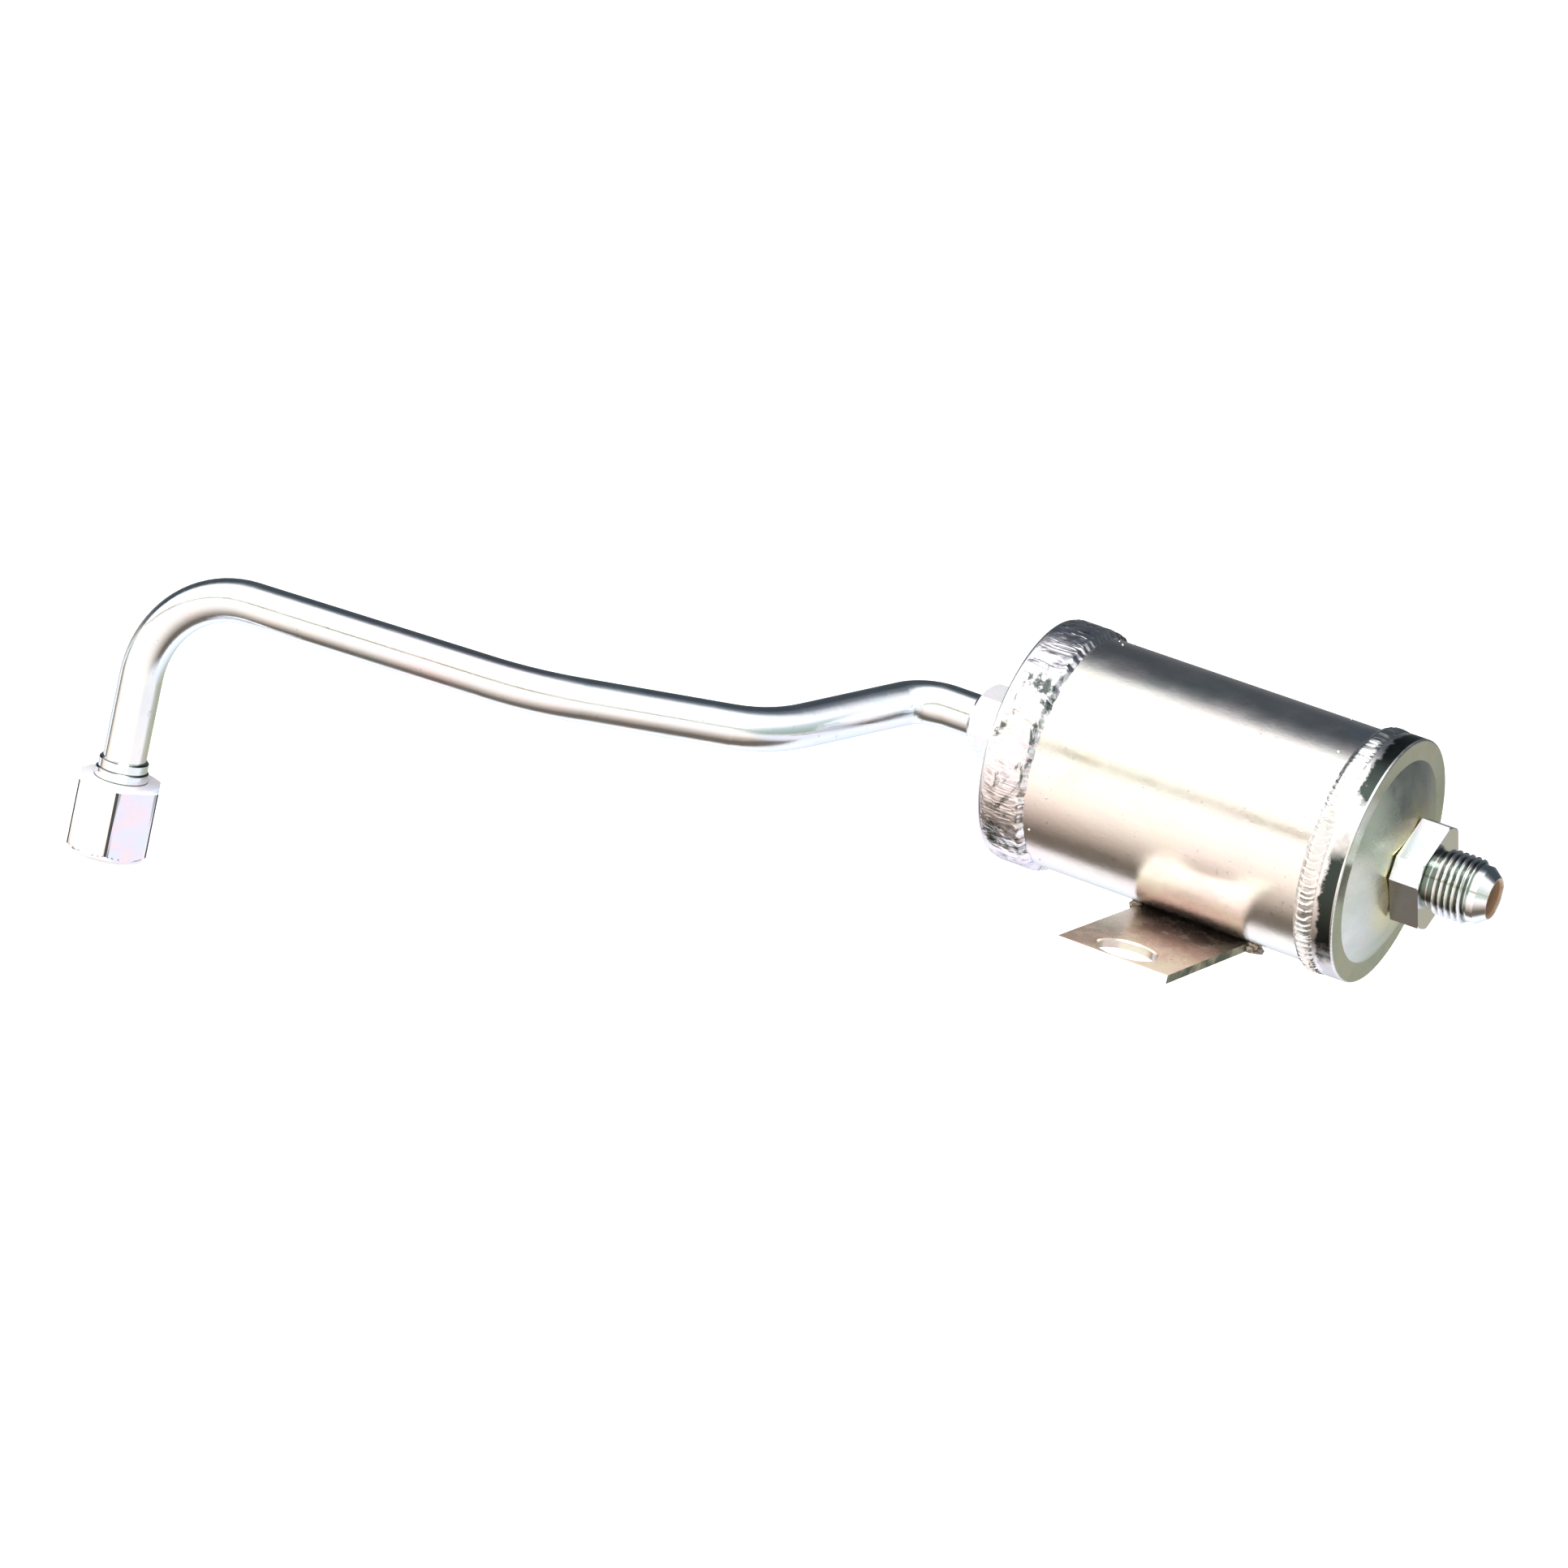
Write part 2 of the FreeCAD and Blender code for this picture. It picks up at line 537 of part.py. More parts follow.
def make_core_tube():
    """The perforated tube that holds the paper up against the flow."""
    outer, inner = dim("core_radius"), dim("core_radius") - dim("core_wall")
    length, rows = dim("element_length") - dim("fit_gap") * 2, int(dim("core_hole_rows").value)
    body = new_body("CoreTube")
    turn(body, "CoreWall", [(inner, ZERO), (outer, ZERO), (outer, length), (inner, length)])
    sketch = new_sketch(body, "CoreHoleColumn")
    hole = dim("core_hole_radius")
    for row in range(rows):
        up = length * ((row + 1) / (rows + 1))
        circle = sketch.addGeometry(Part.Circle(Vector(0, up.value, 0), Vector(0, 0, 1), hole.value))
        pin_point(sketch, circle, 3, ZERO, up)
        index = sketch.addConstraint(Sketcher.Constraint("Radius", circle, hole.value))
        sketch.setExpression(f"Constraints[{index}]", hole.text)
    pocket = body.newObject("PartDesign::Pocket", "CoreHolePair")
    pocket.Profile = sketch
    pocket.Midplane = True
    pocket.setExpression("Length", (outer * 3).text)
    sketch.Visibility = False
    doc.recompute()
    pattern = body.newObject("PartDesign::PolarPattern", "CoreHolesRound")
    pattern.Originals = [pocket]
    pattern.Axis = (sketch, ["V_Axis"])
    pattern.Angle = 135
    pattern.Occurrences = 4
    body.Tip = pattern
    doc.recompute()
    on_can_axis(body, "core_tube",
                dim("element_outlet_x") - dim("element_length") + dim("fit_gap"), TOWARDS_OUTLET)


def make_element_caps():
    """Metal cups that close the paper's ends: one with an eye for the seal, one with a spring boss."""
    skirt, wall = dim("element_cap_skirt"), dim("element_cap_wall")
    outer = dim("element_cap_radius")
    inner, top, eye = outer - wall, skirt + wall, dim("outlet_eye_radius")
    cup = new_body("OutletElementCap")
    turn(cup, "OutletElementCup", [(inner, ZERO), (outer, ZERO), (outer, top), (eye, top),
                                   (eye, skirt), (inner, skirt)])
    on_can_axis(cup, "element_outlet_cap", dim("element_outlet_x") - skirt, TOWARDS_OUTLET)
    boss, rise = dim("boss_radius"), dim("boss_height")
    cup = new_body("InletElementCap")
    turn(cup, "InletElementCup",
         [(inner, ZERO), (outer, ZERO), (outer, top), (boss, top), (boss - 0.3, top + rise),
          (ZERO, top + rise), (ZERO, skirt + rise), (boss - 1.2, skirt + rise),
          (boss - 0.9, skirt), (inner, skirt)])
    on_can_axis(cup, "element_inlet_cap", dim("element_outlet_x") - dim("element_length") + skirt,
                TOWARDS_INLET)


def make_element_seal():
    """The rubber grommet between the element's eye and the connector's spigot."""
    inner, neck = dim("spigot_radius") + 0.02, dim("outlet_eye_radius") - 0.02
    flange, reach = dim("seal_flange_radius"), dim("seal_neck")
    top = reach + dim("seal_flange")
    body = new_body("ElementSeal")
    turn(body, "SealRing", [(inner, ZERO), (neck, ZERO), (neck, reach), (flange, reach),
                            (flange, top), (inner, top)])
    on_can_axis(body, "element_seal",
                dim("element_outlet_x") + dim("element_cap_wall") + 0.02 - reach, TOWARDS_OUTLET)


def make_spring():
    """The coil spring that presses the element on to the outlet."""
    wire, radius = dim("spring_wire").value, dim("spring_radius").value
    cap_face = (INLET_X - dim("dome_height") + dim("cap_wall")).value
    element_face = (dim("element_outlet_x") - dim("element_length") - dim("element_cap_wall")).value
    height = element_face - cap_face - 2 * wire - 0.1
    helix = Part.makeHelix(height / dim("spring_turns").value, height, radius)
    # an eight-sided section keeps the coil's surface simple
    angles = [math.radians(22.5 + 45 * n) for n in range(9)]
    section = Part.makePolygon([Vector(radius + wire * math.cos(a), 0, wire * math.sin(a)) for a in angles])
    spring = doc.addObject("Part::Feature", "ElementSpring")
    spring.Shape = Part.Wire(helix).makePipeShell([section], True, True)
    on_can_axis(spring, "element_spring",
                INLET_X - dim("dome_height") + dim("cap_wall") + dim("spring_wire") + 0.05,
                TOWARDS_OUTLET)


def check_document():
    for thing in doc.Objects:
        if "Invalid" in thing.State or "Error" in thing.State:
            raise RuntimeError(f"{thing.Label} did not compute: {thing.State}")
    for node in NODES:
        if node.Shape.isNull() or not node.Shape.isValid() or not node.Shape.Solids:
            raise RuntimeError(f"{node.Label} has no valid solid")


make_shell()
outlet_skirt_x = OUTLET_X - dim("cap_skirt")
inlet_skirt_x = INLET_X + dim("cap_skirt")
make_end_cap("OutletCap", "outlet_end_cap", dim("outlet_shank_radius"), dim("outlet_rim_round"),
             outlet_skirt_x, TOWARDS_OUTLET)
make_end_cap("InletCap", "inlet_end_cap", dim("inlet_shank_radius"), dim("inlet_rim_round"),
             inlet_skirt_x, TOWARDS_INLET)
make_seam_weld("OutletSeam", "outlet_seam_weld", dim("outlet_bead_width"),
               outlet_skirt_x - 0.02, TOWARDS_INLET)
make_seam_weld("InletSeam", "inlet_seam_weld", dim("inlet_bead_width"),
               inlet_skirt_x + 0.02, TOWARDS_OUTLET)
make_outlet_connector()
make_fillet_ring("OutletBraze", "outlet_connector_braze", dim("outlet_shank_radius"),
                 dim("braze_leg"), OUTLET_X + dim("dome_height") - dim("cap_wall") - 0.02,
                 TOWARDS_INLET)
make_inlet_coupling()
make_fillet_ring("InletBraze", "inlet_coupling_braze", dim("inlet_shank_radius"),
                 dim("braze_leg"), INLET_X - dim("dome_height") + dim("cap_wall") + 0.02,
                 TOWARDS_OUTLET)
make_fillet_ring("TubeWeld", "inlet_tube_weld", dim("tube_radius"), dim("tube_weld_leg"),
                 INLET_X - dim("dome_height") - dim("inlet_hex_length") - 0.02, TOWARDS_INLET)
make_inlet_tube()
make_flare_sleeve()
make_flare_nut()
make_mounting_plate()
make_tack_welds()
make_pleated_element()
make_core_tube()
make_element_caps()
make_element_seal()
make_spring()
doc.recompute()
check_document()

os.makedirs("parts", exist_ok=True)
for node in NODES:
    node.Shape.exportStep(f"parts/{node.Label}.step")
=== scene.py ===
import math
import random

import bpy
from mathutils import Matrix, Vector, noise


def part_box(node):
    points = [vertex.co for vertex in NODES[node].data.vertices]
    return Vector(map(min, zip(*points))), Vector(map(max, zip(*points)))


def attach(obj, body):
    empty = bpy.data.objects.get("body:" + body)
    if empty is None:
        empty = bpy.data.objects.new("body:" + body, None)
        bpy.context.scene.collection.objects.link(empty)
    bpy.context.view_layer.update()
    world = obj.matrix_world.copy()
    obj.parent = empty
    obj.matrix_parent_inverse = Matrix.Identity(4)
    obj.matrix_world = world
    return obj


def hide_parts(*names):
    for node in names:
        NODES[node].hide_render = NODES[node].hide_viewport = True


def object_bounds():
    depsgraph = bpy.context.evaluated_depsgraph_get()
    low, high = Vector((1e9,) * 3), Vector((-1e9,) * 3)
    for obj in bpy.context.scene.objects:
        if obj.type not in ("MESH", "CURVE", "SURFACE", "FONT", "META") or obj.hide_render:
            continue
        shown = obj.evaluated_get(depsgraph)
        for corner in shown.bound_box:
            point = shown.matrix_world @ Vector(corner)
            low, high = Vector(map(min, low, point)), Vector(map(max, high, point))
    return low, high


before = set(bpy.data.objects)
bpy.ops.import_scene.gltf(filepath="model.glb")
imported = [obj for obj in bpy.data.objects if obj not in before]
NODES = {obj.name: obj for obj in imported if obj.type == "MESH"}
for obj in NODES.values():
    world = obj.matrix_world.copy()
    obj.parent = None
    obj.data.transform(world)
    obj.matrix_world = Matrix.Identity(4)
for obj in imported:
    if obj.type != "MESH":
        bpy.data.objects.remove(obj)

CAD_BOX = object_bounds()
MM = 0.001

# the can's axis, and the line's far end, both read from the frame
shell_low, shell_high = (Vector(corner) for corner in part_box("canister_shell"))
CAN_Y = (shell_low.y + shell_high.y) / 2
CAN_Z = (shell_low.z + shell_high.z) / 2
nut_low, nut_high = (Vector(corner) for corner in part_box("flare_nut"))
NUT_X = (nut_low.x + nut_high.x) / 2
NUT_Y = (nut_low.y + nut_high.y) / 2

CAN_FRAME = (Vector((0, CAN_Y, CAN_Z)), Vector((1, 0, 0)), Vector((0, 1, 0)), Vector((0, 0, 1)))
NUT_FRAME = (Vector((NUT_X, NUT_Y, 0)), Vector((0, 0, 1)), Vector((1, 0, 0)), Vector((0, 1, 0)))


# ---------------------------------------------------------------- mesh helpers

def make_object(name, points, faces, material, smooth_angle=35):
    """A mesh object, smooth except where its faces meet more sharply than the angle."""
    mesh = bpy.data.meshes.new(name)
    mesh.from_pydata([tuple(p) for p in points], [], faces)
    mesh.update()
    mesh.shade_smooth()
    mesh.set_sharp_from_angle(angle=math.radians(smooth_angle))
    mesh.materials.append(material)
    piece = bpy.data.objects.new(name, mesh)
    bpy.context.scene.collection.objects.link(piece)
    return piece


def ring_grid(name, place, rings, angles, material, smooth_angle=35):
    """A closed loop of rings round an axis. Each ring is (height, radius function of angle)."""
    origin, axis, u, v = place
    points, faces, count = [], [], len(angles)
    for height, radius in rings:
        for angle in angles:
            r = radius(angle)
            along = height(angle) if callable(height) else height
            points.append(origin + axis * along
                          + (u * math.cos(angle) + v * math.sin(angle)) * r)
    for row in range(len(rings)):
        after = (row + 1) % len(rings)
        for k in range(count):
            m = (k + 1) % count
            faces.append((row * count + k, row * count + m, after * count + m, after * count + k))
    return make_object(name, points, faces, material, smooth_angle)


def add_dome(points, faces, middle, directions, spread, rise, around, up):
    """Add a closed lump: rings that close in to one pole, over a flat foot.

    The directions are (across, beside, outward), a right-handed set. Spread and rise give each
    point's distance out and up, from its turn and its lift."""
    across, beside, outward = directions
    first = len(points)
    for row in range(up):
        lift = math.pi / 2 * row / up
        for k in range(around):
            turn = 2 * math.pi * k / around
            r = spread(turn, lift)
            points.append(middle + across * r * math.cos(turn) + beside * r * math.sin(turn)
                          + outward * rise(turn, lift))
    pole = len(points)
    points.append(middle + outward * rise(0.0, math.pi / 2))
    for k in range(around):
        m = (k + 1) % around
        for row in range(up - 1):
            low, high = first + row * around, first + (row + 1) * around
            faces.append((low + k, low + m, high + m, high + k))
        faces.append((pole - around + k, pole - around + m, pole))
    faces.append(tuple(first + k for k in reversed(range(around))))


def steady(radius):
    return lambda angle: radius


def prism(sides):
    """The radius of a flat-sided bar, whose sides are (angle, distance from the axis)."""
    def radius(angle):
        return min(distance / math.cos(angle - facing) for facing, distance in sides
                   if math.cos(angle - facing) > 0.2)
    return radius


def evenly(count, extra=()):
    angles = [2 * math.pi * k / count for k in range(count)]
    return sorted(set(round(a % (2 * math.pi), 7) for a in angles + list(extra)))


def thread_rings(start, end, minor, major):
    """Rings that follow a right-handed 9/16-18 thread and fade out at both of its ends."""
    pitch = 1.411 * MM
    steps = int((end - start) / pitch * 14)
    rings = []
    for k in range(steps + 1):
        height = start + (end - start) * k / steps
        fade = min(1.0, (height - start) / (0.2 * pitch), (end - height) / (0.6 * pitch))

        def radius(angle, height=height, fade=max(fade, 0.0)):
            turn = (height / pitch - angle / (2 * math.pi)) % 1.0
            crest = min(1.0, max(0.0, 1.25 * (1 - abs(2 * turn - 1)) - 0.12))
            return minor + (major - minor) * crest * fade
        rings.append((height, radius))
    return rings


# ---------------------------------------------------------------- material helpers

class Shader:
    """One principled material and the nodes that feed it."""

    def __init__(self, name):
        self.material = bpy.data.materials.new(name)
        self.material.use_nodes = True
        self.tree = self.material.node_tree
        self.surface = self.tree.nodes["Principled BSDF"]
        coordinates = self.tree.nodes.new("ShaderNodeTexCoord")
        self.position = coordinates.outputs["Object"]

    def node(self, kind, **settings):
        made = self.tree.nodes.new(kind)
        for key, value in settings.items():
            setattr(made, key, value)
        return made

    def wire(self, source, target):
        self.tree.links.new(source, target)

    def noise(self, scale, detail=4.0, roughness=0.55, distortion=0.0):
        texture = self.node("ShaderNodeTexNoise")
        texture.inputs["Scale"].default_value = scale
        texture.inputs["Detail"].default_value = detail
        texture.inputs["Roughness"].default_value = roughness
        texture.inputs["Distortion"].default_value = distortion
        self.wire(self.position, texture.inputs["Vector"])
        return texture.outputs["Fac"]

    def along(self, axis):
        split = self.node("ShaderNodeSeparateXYZ")
        self.wire(self.position, split.inputs["Vector"])
        return split.outputs[axis]

    def ramp(self, value, stops):
        made = self.node("ShaderNodeValToRGB")
        elements = made.color_ramp.elements
        while len(elements) < len(stops):
            elements.new(0.5)
        for element, (position, color) in zip(elements, stops):
            element.position = position
            element.color = (*color, 1.0)
        self.wire(value, made.inputs["Fac"])
        return made.outputs["Color"]

    def remap(self, value, low, high, to_low=0.0, to_high=1.0):
        made = self.node("ShaderNodeMapRange", interpolation_type="SMOOTHSTEP")
        for key, number in (("From Min", low), ("From Max", high),
                            ("To Min", to_low), ("To Max", to_high)):
            made.inputs[key].default_value = number
        self.wire(value, made.inputs["Value"])
        return made.outputs["Result"]

    def math(self, operation, first, second):
        made = self.node("ShaderNodeMath", operation=operation)
        for socket, value in zip(made.inputs, (first, second)):
            if isinstance(value, (int, float)):
                socket.default_value = value
            else:
                self.wire(value, socket)
        return made.outputs["Value"]

    def blend(self, amount, first, second):
        made = self.node("ShaderNodeMix", data_type="RGBA")
        self.wire(amount, made.inputs["Factor"])
        for key, value in (("A", first), ("B", second)):
            socket = [s for s in made.inputs if s.name == key and s.type == "RGBA"][0]
            if isinstance(value, tuple):
                socket.default_value = (*value, 1.0)
            else:
                self.wire(value, socket)
        return [s for s in made.outputs if s.type == "RGBA"][0]

    def distance_from(self, axes, centre):
        """Distance from a line that runs along the remaining axis."""
        squares = []
        for axis, middle in zip(axes, centre):
            away = self.math("SUBTRACT", self.along(axis), middle)
            squares.append(self.math("MULTIPLY", away, away))
        return self.math("SQRT", self.math("ADD", *squares), 0.0)

    def paint(self, amount, color):
        """Lay a colour over the base colour so far."""
        target = self.surface.inputs["Base Color"]
        self.wire(self.blend(amount, target.links[0].from_socket, color), target)

    def bump(self, heights):
        """Stack bumps of (height, strength, depth in metres)."""
        last = None
        for height, strength, depth in heights:
            made = self.node("ShaderNodeBump")
            made.inputs["Strength"].default_value = strength
            made.inputs["Distance"].default_value = depth
            self.wire(height, made.inputs["Height"])
            if last:
                self.wire(last, made.inputs["Normal"])
            last = made.outputs["Normal"]
        self.wire(last, self.surface.inputs["Normal"])


def zinc(name, tints, tint_scale=26, rough=(0.10, 0.30), speck=0.18, speck_color=(0.20, 0.19, 0.15),
         bump=0.25, grain=1500, film=None):
    """Bright zinc under an uneven chromate film: drifting tints, dull specks and a fine grain."""
    shader = Shader(name)
    shader.surface.inputs["Metallic"].default_value = 1.0
    color = shader.ramp(shader.noise(tint_scale, 5, 0.6, 0.8), tints)
    color = shader.blend(shader.remap(shader.noise(tint_scale * 0.45, 3, 0.5, 1.5), 0.45, 0.75, 0, 0.55),
                         color, film or tints[-1][1])
    marks = shader.remap(shader.noise(grain * 0.55, 6, 0.7), 0.60, 0.72, 0, speck)
    color = shader.blend(marks, color, speck_color)
    shader.wire(color, shader.surface.inputs["Base Color"])
    shader.wire(shader.remap(shader.noise(120, 6, 0.65), 0.3, 0.7, *rough),
                shader.surface.inputs["Roughness"])
    shader.bump([(shader.noise(grain, 5, 0.7), bump, 0.00006),
                 (shader.noise(90, 3, 0.5), bump * 0.5, 0.0004)])
    return shader


PALE = [(0.25, (0.93, 0.90, 0.78)), (0.42, (0.95, 0.95, 0.93)), (0.55, (0.84, 0.91, 0.96)),
        (0.68, (0.94, 0.86, 0.90)), (0.80, (0.90, 0.88, 0.72))]
CLEAN = [(0.25, (0.95, 0.95, 0.93)), (0.45, (0.86, 0.93, 0.97)), (0.60, (0.95, 0.88, 0.92)),
         (0.75, (0.95, 0.94, 0.86))]
WARM = [(0.25, (0.94, 0.89, 0.72)), (0.42, (0.94, 0.93, 0.88)), (0.55, (0.95, 0.87, 0.85)),
        (0.68, (0.86, 0.87, 0.94)), (0.80, (0.92, 0.89, 0.70))]
NUT_TINTS = [(0.28, (0.78, 0.91, 0.97)), (0.46, (0.86, 0.86, 0.99)), (0.60, (0.98, 0.82, 0.86)),
             (0.75, (0.80, 0.96, 0.95))]
BRONZE = [(0.25, (0.58, 0.57, 0.42)), (0.42, (0.78, 0.77, 0.66)), (0.55, (0.74, 0.61, 0.58)),
          (0.68, (0.54, 0.58, 0.47)), (0.82, (0.72, 0.68, 0.50))]
OLIVE = [(0.25, (0.50, 0.52, 0.44)), (0.42, (0.64, 0.67, 0.60)), (0.55, (0.74, 0.71, 0.66)),
         (0.68, (0.56, 0.62, 0.59)), (0.82, (0.78, 0.73, 0.54))]

shell_finish = zinc("chromate_shell", WARM, 22, (0.15, 0.25), 0.40, (0.30, 0.27, 0.22), 0.35, 1300,
                    film=(0.93, 0.85, 0.84))
cap_finish = zinc("chromate_cap", OLIVE, 30, (0.18, 0.38), 0.35, (0.22, 0.22, 0.16), 0.30, 1700,
                  film=(0.60, 0.64, 0.56))
inlet_cap_finish = zinc("chromate_inlet_cap", PALE, 34, (0.15, 0.34), 0.35, bump=0.30,
                        film=(0.84, 0.80, 0.88))
plate_finish = zinc("chromate_plate", BRONZE, 52, (0.16, 0.34), 0.30, (0.24, 0.22, 0.16), 0.28, 1500,
                    film=(0.72, 0.60, 0.57))
tube_finish = zinc("chromate_tube", PALE, 18, (0.06, 0.22), 0.30, (0.22, 0.21, 0.18), 0.22, 1100,
                   film=(0.82, 0.86, 0.95))
nut_finish = zinc("chromate_nut", NUT_TINTS, 120, (0.06, 0.16), 0.10, bump=0.10, grain=1900,
                  film=(0.92, 0.86, 0.97))
sleeve_finish = zinc("chromate_sleeve", CLEAN, 60, (0.08, 0.22), 0.16, bump=0.14, grain=1900,
                     film=(0.80, 0.88, 0.84))
coupling_finish = zinc("chromate_coupling", CLEAN, 60, (0.20, 0.36), 0.16, bump=0.14, grain=1900,
                       film=(0.90, 0.92, 0.96))
coupling_finish.surface.inputs["Metallic"].default_value = 0.35
connector_finish = zinc("chromate_connector", CLEAN, 70, (0.06, 0.22), 0.22, (0.20, 0.22, 0.18), 0.16,
                        2000, film=(0.84, 0.91, 0.84))
weld_finish = zinc("weld_bead", [(0.25, (0.84, 0.82, 0.80)), (0.45, (0.94, 0.93, 0.92)),
                                 (0.60, (0.78, 0.80, 0.78)), (0.78, (0.88, 0.82, 0.87))],
                   150, (0.12, 0.36), 0.35, (0.12, 0.12, 0.10), 0.5, 1400, film=(0.90, 0.86, 0.88))
inlet_weld_finish = zinc("weld_inlet", [(0.25, (0.86, 0.84, 0.90)), (0.45, (0.95, 0.92, 0.94)),
                                       (0.60, (0.88, 0.84, 0.92)), (0.78, (0.94, 0.86, 0.88))],
                         120, (0.10, 0.34), 0.4, (0.10, 0.11, 0.09), 0.6, 1300, film=(0.86, 0.82, 0.92))
tack_finish = zinc("weld_tack", [(0.3, (0.22, 0.20, 0.17)), (0.6, (0.50, 0.46, 0.40)),
                                 (0.8, (0.82, 0.78, 0.74))],
                   420, (0.2, 0.5), 0.5, (0.05, 0.05, 0.04), 0.8, 1500, film=(0.30, 0.28, 0.24))
braze_finish = zinc("braze_fillet", [(0.3, (0.80, 0.66, 0.34)), (0.55, (0.86, 0.76, 0.50)),
                                     (0.75, (0.70, 0.60, 0.38))],
                    300, (0.16, 0.36), 0.3, (0.20, 0.15, 0.08), 0.4, 1500, film=(0.84, 0.74, 0.46))
tin_finish = zinc("tinplate", [(0.3, (0.72, 0.72, 0.70)), (0.7, (0.82, 0.82, 0.80))],
                  80, (0.2, 0.35), 0.15, bump=0.2, film=(0.76, 0.76, 0.74))
spring_finish = zinc("spring_wire", [(0.3, (0.42, 0.42, 0.42)), (0.7, (0.60, 0.60, 0.58))],
                     120, (0.2, 0.4), 0.25, bump=0.2, film=(0.5, 0.5, 0.48))


def dull(name, colors, scale, rough, bump_scale, bump_strength):
    """A finish that is not metal."""
    shader = Shader(name)
    shader.wire(shader.ramp(shader.noise(scale, 5, 0.6), colors), shader.surface.inputs["Base Color"])
    shader.wire(shader.remap(shader.noise(scale * 2, 4), 0.3, 0.7, *rough),
                shader.surface.inputs["Roughness"])
    shader.bump([(shader.noise(bump_scale, 5, 0.7), bump_strength, 0.0002)])
    return shader


paper_finish = dull("filter_paper", [(0.3, (0.72, 0.60, 0.36)), (0.7, (0.84, 0.74, 0.50))],
                    300, (0.75, 0.95), 1800, 0.5)
rubber_finish = dull("nitrile_rubber", [(0.3, (0.012, 0.012, 0.012)), (0.7, (0.03, 0.03, 0.03))],
                     200, (0.5, 0.75), 1500, 0.25)


# ---------------------------------------------------------------- marks, painted shade and painted highlights laid over the finishes

CAN_AXIS = (("Y", "Z"), (CAN_Y, CAN_Z))
NUT_AXIS = (("X", "Y"), (NUT_X, NUT_Y))
outlet_bead_low, outlet_bead_high = (Vector(c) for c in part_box("outlet_seam_weld"))
inlet_bead_high = Vector(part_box("inlet_seam_weld")[1])
connector_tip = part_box("outlet_connector")[1][0]


def scorch_near_rim(shader, start, end, color, strength, heights):
    """Darken a finish over a stretch of the can's length, more at some heights than others."""
    wander = shader.math("SUBTRACT", shader.noise(300, 5, 0.7), 0.5)
    place = shader.math("ADD", shader.along("X"), shader.math("MULTIPLY", wander, 4 * MM))
    rise = shader.remap(place, start - 0.4 * MM, start + 0.4 * MM)
    fall = shader.remap(shader.along("X"), end - 0.15 * MM, end, 1.0, 0.0)
    level = shader.remap(shader.along("Z"), shell_low.z, shell_high.z)
    drift = shader.math("SUBTRACT", shader.noise(120, 6, 0.7), 0.5)
    ragged = shader.math("ADD", level, shader.math("MULTIPLY", drift, 0.34))
    patch = shader.ramp(ragged, [(height, (amount,) * 3) for height, amount in heights])
    amount = shader.math("MULTIPLY", shader.math("MULTIPLY", rise, fall), patch)
    shader.paint(shader.math("MULTIPLY", amount, strength), color)


def brown_bore(shader, radius, color):
    """The unplated inside of the bore, brown with old fuel."""
    inside = shader.remap(shader.distance_from(*CAN_AXIS), radius, radius + 0.3 * MM, 1.0, 0.0)
    shader.paint(inside, color)
    shader.wire(shader.math("SUBTRACT", 1.0, inside), shader.surface.inputs["Metallic"])


def patches(shader, scale, low, high, color, strength):
    """Break a finish with dark burnt patches."""
    shader.paint(shader.remap(shader.noise(scale, 6, 0.7, 1.2), low, high, 0.0, strength), color)


def thread_root_grime_and_shade(shader, root, crest, start, end, color):
    """Grime and painted shade that darken the thread's roots."""
    deep = shader.remap(shader.distance_from(*CAN_AXIS), root, crest, 1.0, 0.0)
    place = shader.along("X")
    inside = shader.math("MULTIPLY", shader.remap(place, start, start + 0.4 * MM),
                         shader.remap(place, end - 0.4 * MM, end, 1.0, 0.0))
    shader.paint(shader.math("MULTIPLY", deep, inside), color)


def plate_edge_highlight_and_shade(shader, node, color):
    """The plate's sheared edges: the front one painted bright, a painted highlight, and the one towards
    the outlet painted dark, painted shade.
    """
    low, high = (Vector(c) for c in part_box(node))
    side = shader.remap(shader.along("X"), high.x - 0.05 * MM, high.x)
    shader.paint(shader.math("MULTIPLY", side, shader.remap(shader.noise(170, 4), 0.40, 0.62, 1.0, 0.35)),
                 color)
    shader.paint(shader.remap(shader.along("Y"), low.y, low.y + 0.05 * MM, 1.0, 0.0), (1.0, 1.0, 1.0))


def matt_end(shader, start, full):
    """A turned end face, which scatters light more than the flats do."""
    shader.wire(shader.remap(shader.along("Z"), start, full, 1.0, 0.12), shader.surface.inputs["Metallic"])


def shade_rings(shader, axis, places, width, color):
    """Thin lines of painted shade round a turned piece, where its diameter steps."""
    for place in places:
        away = shader.math("ABSOLUTE", shader.math("SUBTRACT", shader.along(axis), place), 0.0)
        shader.paint(shader.remap(away, width * 0.4, width, 0.9, 0.0), color)


def skirt_highlight(shader, rim, color):
    """A painted highlight: the cap's side painted brighter than its face."""
    shader.paint(shader.remap(shader.along("X"), rim - 0.12 * MM, rim - 0.02 * MM, 0.85, 0.0), color)


def heat_tint(shader, near, far, color):
    """The straw colour that brazing leaves round the connector's foot."""
    fading = shader.remap(shader.distance_from(*CAN_AXIS), near, far, 0.75, 0.0)
    uneven = shader.remap(shader.noise(150, 4, 0.6), 0.35, 0.60, 0.25, 1.0)
    shader.paint(shader.math("MULTIPLY", fading, uneven), color)


def lit_side_paint(shader, edge):
    """Painted light: the nut's flats short of the given X are painted whiter, as a lit side."""
    shader.paint(shader.remap(shader.along("X"), edge - 0.2 * MM, edge, 0.7, 0.0), (1.0, 1.0, 1.0))


def dark_corner_line(shader, radius, color):
    """A dark line painted along the nut's corners."""
    shader.paint(shader.remap(shader.distance_from(*NUT_AXIS), radius, radius + 0.03 * MM, 0.0, 0.95),
                 color)
